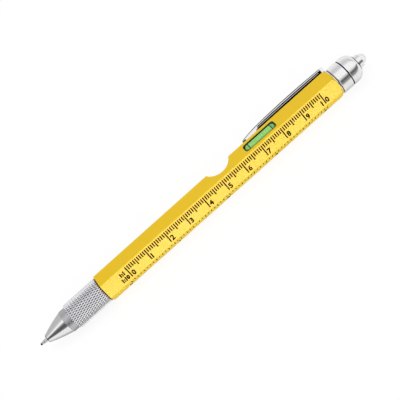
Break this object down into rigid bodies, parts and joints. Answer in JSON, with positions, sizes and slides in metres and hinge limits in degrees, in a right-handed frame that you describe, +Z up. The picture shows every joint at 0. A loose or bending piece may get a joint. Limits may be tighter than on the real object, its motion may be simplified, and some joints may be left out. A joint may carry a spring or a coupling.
{
  "type": "multi tool pen",
  "caption": "Hexagonal twist ballpoint pen with printed ruler faces, spirit level, opener notch, pocket clip, lamp head and a hidden screwdriver bit.",
  "frame": {"origin": "centre of the barrel's lower flat, on which the pen lies", "axes": "+X along the pen towards the lamp, +Z up out of the spirit level's face, +Y towards the clip's side"},
  "size_m": [0.1695, 0.0146, 0.012],
  "materials": {
    "yellow_paint": "satin yellow lacquer",
    "knurled_metal": "matt nickel, diamond knurl",
    "brushed_collar": "turned, fine rings",
    "polished_chrome": "polished",
    "clip_chrome": "polished strip",
    "nickel_silver": "bright drawn",
    "ball_carbide": "polished carbide",
    "black_nylon": "matt",
    "white_plastic": "moulded",
    "bearing_brass": "turned",
    "spring_steel": "ground",
    "blackened_steel": "blackened",
    "black_ink": "ink paste",
    "clear_acrylic": "clear, polished",
    "green_liquid": "tinted liquid",
    "air_bubble": "air",
    "dark_ring": "printed ring",
    "dark_magnet": "nickelled magnet",
    "black_rubber": "moulded",
    "cell_steel": "nickelled can",
    "board_laminate": "white laminate",
    "lamp_epoxy": "clear epoxy",
    "milky_dome": "translucent white"
  },
  "bodies": {
    "body": {"barrel": "yellow_paint", "lower_bush": "bearing_brass", "thrust_washer": "black_nylon", "cam_sleeve": "bearing_brass", "level_vial": "clear_acrylic", "vial_plug": "clear_acrylic", "level_liquid": "green_liquid", "level_bubble": "air_bubble", "level_rings": "dark_ring", "clip_root": "clip_chrome", "bit_holder": "blackened_steel", "bit_magnet": "dark_magnet", "driver_bit": "spring_steel"},
    "grip": {"grip_sleeve": "knurled_metal", "grip_collar": "brushed_collar", "nose_cone": "polished_chrome", "refill_guide": "white_plastic", "drive_tube": "nickel_silver", "tube_circlip": "spring_steel"},
    "refill": {"refill_tip": "nickel_silver", "writing_ball": "ball_carbide", "refill_tube": "nickel_silver", "ink": "black_ink", "refill_carrier": "bearing_brass", "follower_pin": "spring_steel"},
    "clip": {"clip_arm": "clip_chrome"},
    "head": {"head_base": "polished_chrome", "spigot_o_ring": "black_rubber", "cap_o_ring": "black_rubber", "battery_contact": "spring_steel", "battery_sleeve": "white_plastic", "battery_1": "cell_steel", "battery_2": "cell_steel", "battery_3": "cell_steel"},
    "lamp": {"lamp_cap": "polished_chrome", "led_board": "board_laminate", "led": "lamp_epoxy", "lens_gasket": "black_rubber", "lens_ring": "polished_chrome", "dome_lens": "milky_dome"}
  },
  "joints": [
    {"name": "grip_twist", "type": "hinge", "parent": "body", "child": "grip", "pos_m": [-0.0603, 0, 0.0056], "axis": [1, 0, 0], "range_deg": [0, 180]},
    {"name": "refill_slide", "type": "slide", "parent": "grip", "child": "refill", "axis": [1, 0, 0], "range_m": [0, 0.0042]},
    {"name": "clip_flex", "type": "hinge", "parent": "body", "child": "clip", "pos_m": [0.0592, 0.00684, 0.00955], "axis": [0, 0.5, -0.866], "range_deg": [0, 2.5], "stiffness_Nm_per_rad": 5},
    {"name": "head_pull", "type": "slide", "parent": "body", "child": "head", "axis": [1, 0, 0], "range_m": [0, 0.02]},
    {"name": "lamp_twist", "type": "hinge", "parent": "head", "child": "lamp", "pos_m": [0.0658, 0, 0.0056], "axis": [1, 0, 0], "range_deg": [0, 90]}
  ],
  "couplings": [
    {"joint": "refill_slide", "follows": "grip_twist", "m_per_rad": 0.0013369}
  ]
}
